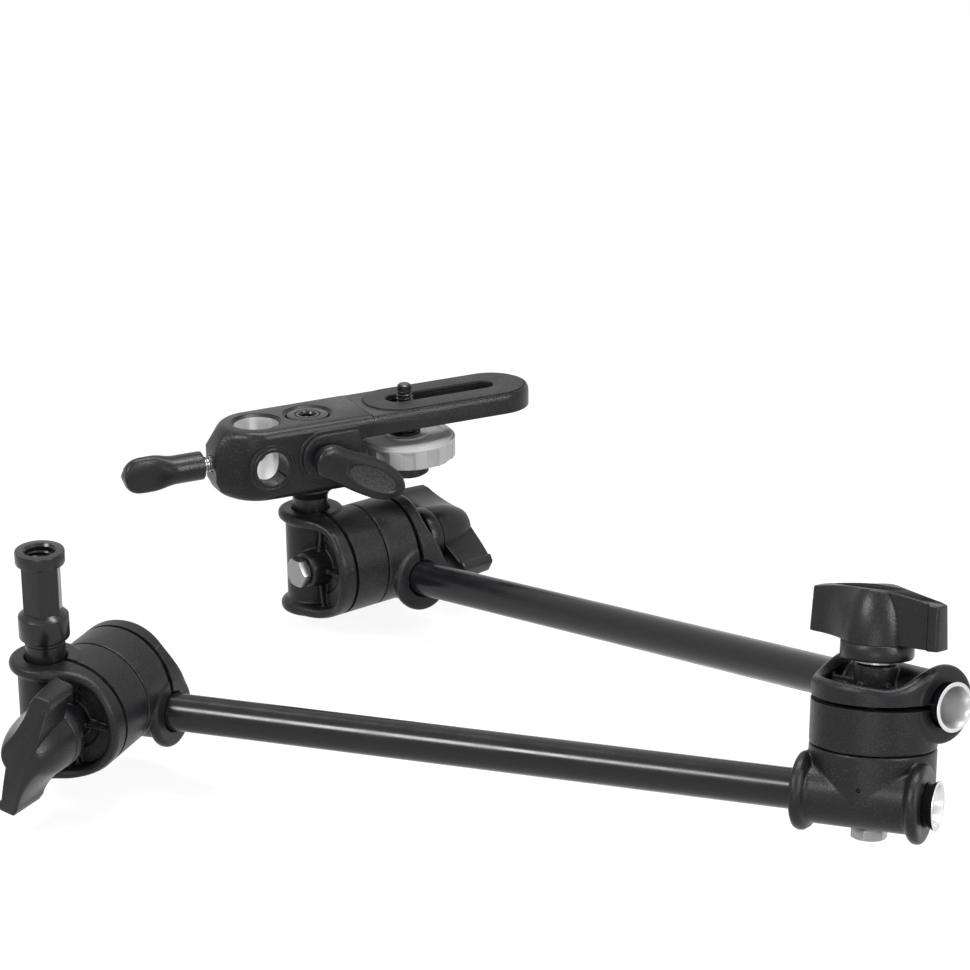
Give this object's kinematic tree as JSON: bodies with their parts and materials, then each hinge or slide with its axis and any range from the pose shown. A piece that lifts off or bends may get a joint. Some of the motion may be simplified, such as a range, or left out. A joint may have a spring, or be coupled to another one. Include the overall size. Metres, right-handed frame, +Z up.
{
  "type": "articulating friction arm",
  "caption": "Articulating arm: black tubes joined by lockable disc joints with wing knobs, ending in a swivelling slotted camera bracket; held by a stud at its base.",
  "frame": {"origin": "on the axis of the base stud, in the plane of its head", "axes": "+Z up along the stud, out of its head; +X the way the lower tube runs; +Y away from the first joint's knob"},
  "size_m": [0.326, 0.2648, 0.1049],
  "materials": {
    "moulded_black": "fine textured black moulding",
    "knob_black": "satin black moulding",
    "anodised_black": "smooth black anodised",
    "zinc_steel": "bright zinc plated",
    "blackened_steel": "satin blackened steel",
    "painted_casting": "satin black painted die casting",
    "textured_pad": "fine pebbled black rubber",
    "grey_wheel": "mid grey moulding"
  },
  "bodies": {
    "base_stud": {"base_stud": "blackened_steel"},
    "base_near": {"base_near_half": "moulded_black", "base_washer": "zinc_steel"},
    "base_far": {"base_far_half": "moulded_black", "base_bolt": "zinc_steel"},
    "base_knob": {"base_knob": "knob_black"},
    "lower_tube": {"lower_tube": "anodised_black"},
    "elbow_lower": {"elbow_lower_half": "moulded_black", "elbow_bolt": "zinc_steel"},
    "elbow_upper": {"elbow_upper_half": "moulded_black", "elbow_washer": "zinc_steel"},
    "elbow_knob": {"elbow_knob": "knob_black"},
    "upper_tube": {"upper_tube": "anodised_black"},
    "head_far": {"head_far_half": "moulded_black", "head_washer": "zinc_steel"},
    "head_knob": {"head_knob": "knob_black"},
    "head_near": {"head_near_half": "moulded_black", "head_bolt": "zinc_steel"},
    "bracket_stud": {"bracket_stud": "blackened_steel"},
    "bracket": {"bracket_body": "painted_casting", "bracket_pad": "textured_pad"},
    "lock_lever": {"lock_lever": "knob_black", "lock_lever_screw": "zinc_steel"},
    "end_screw": {"end_screw": "zinc_steel"},
    "end_handle": {"end_screw_handle": "knob_black"},
    "screw_carriage": {"screw_spacer": "blackened_steel"},
    "camera_screw": {"camera_screw": "blackened_steel"},
    "lock_wheel": {"lock_wheel": "grey_wheel"}
  },
  "joints": [
    {"name": "base_swivel", "type": "hinge", "parent": "base_stud", "child": "base_near", "pos_m": [0, 0, 0], "axis": [0, 0, 1], "continuous": true},
    {"name": "base_turn", "type": "hinge", "parent": "base_near", "child": "base_far", "pos_m": [0.0099, 0.0145, -0.0579], "axis": [0, 1, 0], "continuous": true},
    {"name": "base_knob_turn", "type": "hinge", "parent": "base_near", "child": "base_knob", "pos_m": [0.0099, 0.0145, -0.0579], "axis": [0, -1, 0], "continuous": true},
    {"name": "lower_tube_twist", "type": "hinge", "parent": "base_far", "child": "lower_tube", "pos_m": [0.0108, 0.029, -0.06776], "axis": [0.9959, 0, 0.0906], "continuous": true},
    {"name": "elbow_slide", "type": "slide", "parent": "lower_tube", "child": "elbow_lower", "axis": [-0.9959, 0, -0.0906], "range_m": [0, 0.195]},
    {"name": "elbow_turn", "type": "hinge", "parent": "elbow_lower", "child": "elbow_upper", "pos_m": [0.26719, 0.04226, -0.03286], "axis": [0.0877, -0.2538, -0.9633], "range_deg": [-15, 300]},
    {"name": "elbow_knob_turn", "type": "hinge", "parent": "elbow_upper", "child": "elbow_knob", "pos_m": [0.26719, 0.04226, -0.03286], "axis": [-0.0877, 0.2538, 0.9633], "continuous": true},
    {"name": "upper_tube_twist", "type": "hinge", "parent": "elbow_upper", "child": "upper_tube", "pos_m": [0.27081, 0.05436, -0.02067], "axis": [0.8651, -0.4601, 0.1999], "continuous": true},
    {"name": "head_slide", "type": "slide", "parent": "upper_tube", "child": "head_far", "axis": [-0.8651, 0.4601, -0.1999], "range_m": [-0.195, 0]},
    {"name": "head_knob_turn", "type": "hinge", "parent": "head_far", "child": "head_knob", "pos_m": [0.03408, 0.16405, -0.06343], "axis": [0.4729, 0.8809, -0.0195], "continuous": true},
    {"name": "head_turn", "type": "hinge", "parent": "head_far", "child": "head_near", "pos_m": [0.03408, 0.16405, -0.06343], "axis": [0.4729, 0.8809, -0.0195], "range_deg": [-110, 60]},
    {"name": "stud_swivel", "type": "hinge", "parent": "head_near", "child": "bracket_stud", "pos_m": [0.01851, 0.15595, -0.06366], "axis": [0.0359, -0.0413, -0.9985], "continuous": true},
    {"name": "bracket_lift", "type": "slide", "parent": "bracket_stud", "child": "bracket", "axis": [-0.0359, 0.0413, 0.9985], "range_m": [0, 0.035]},
    {"name": "lock_lever_turn", "type": "hinge", "parent": "bracket", "child": "lock_lever", "pos_m": [0.02992, 0.14687, -0.0184], "axis": [0.765, -0.6417, 0.0541], "range_deg": [0, 150]},
    {"name": "end_screw_travel", "type": "slide", "parent": "bracket", "child": "end_screw", "axis": [0.643, 0.7658, -0.0086], "range_m": [-0.004, 0.002]},
    {"name": "end_screw_turn", "type": "hinge", "parent": "end_screw", "child": "end_handle", "pos_m": [-0.00774, 0.12834, -0.01989], "axis": [0.643, 0.7658, -0.0086], "range_deg": [-1440, 720]},
    {"name": "camera_screw_slide", "type": "slide", "parent": "bracket", "child": "screw_carriage", "axis": [0.643, 0.7658, -0.0086], "range_m": [-0.0028, 0.0318]},
    {"name": "camera_screw_turn", "type": "hinge", "parent": "screw_carriage", "child": "camera_screw", "pos_m": [0.04187, 0.18854, -0.00728], "axis": [-0.0359, 0.0413, 0.9985], "continuous": true},
    {"name": "lock_wheel_turn", "type": "hinge", "parent": "screw_carriage", "child": "lock_wheel", "pos_m": [0.04187, 0.18854, -0.00728], "axis": [-0.0359, 0.0413, 0.9985], "continuous": true}
  ],
  "couplings": [
    {"joint": "end_screw_turn", "follows": "end_screw_travel", "rad_per_m": 6283.2}
  ]
}
